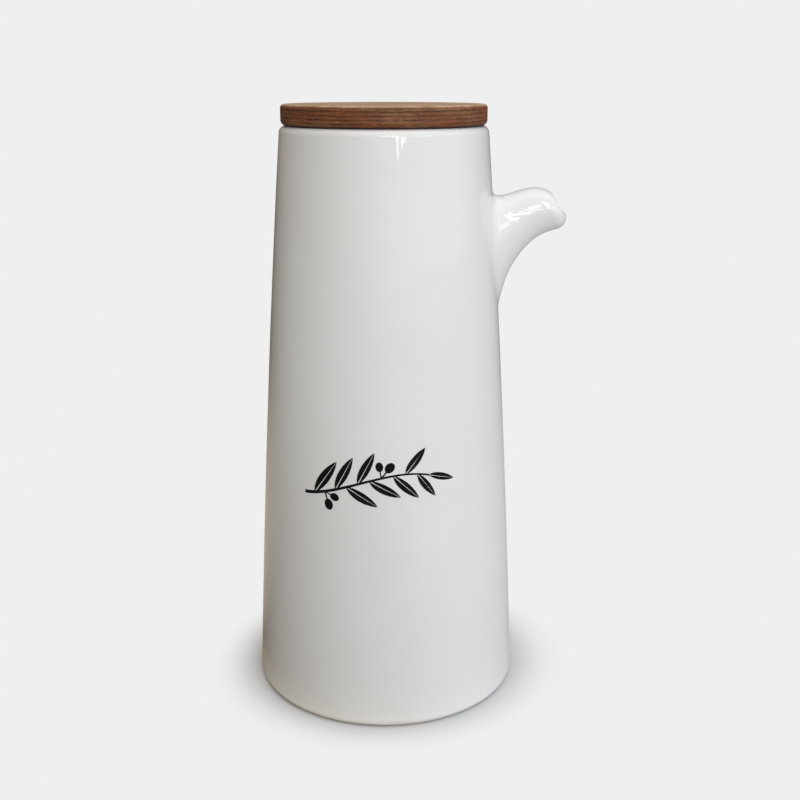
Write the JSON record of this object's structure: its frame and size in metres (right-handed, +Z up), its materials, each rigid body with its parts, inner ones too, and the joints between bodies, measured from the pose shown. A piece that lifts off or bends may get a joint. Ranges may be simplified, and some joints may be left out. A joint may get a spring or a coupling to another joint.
{
  "type": "oil container",
  "caption": "Slim conical glazed ceramic oil container with a short upturned pouring spout and a turned wooden lid sealed by a silicone ring",
  "frame": {"origin": "middle of the foot ring, on the plane it stands on", "axes": "+Z up along the vessel's axis, +X along the spout, +Y to the back as pictured"},
  "size_m": [0.1061, 0.0918, 0.2],
  "materials": {
    "glaze": "glossy off-white glaze over slip-cast stoneware, bare on the foot ring",
    "wood": "turned reddish-brown hardwood, oiled, with dark grain streaks",
    "silicone": "translucent white silicone, satin"
  },
  "bodies": {
    "container": {"vessel": "glaze"},
    "cover": {"lid": "wood", "seal_ring": "silicone"}
  },
  "joints": [
    {"name": "lid_lift", "type": "slide", "parent": "container", "child": "cover", "axis": [0, 0, 1], "range_m": [0, 0.06]}
  ]
}
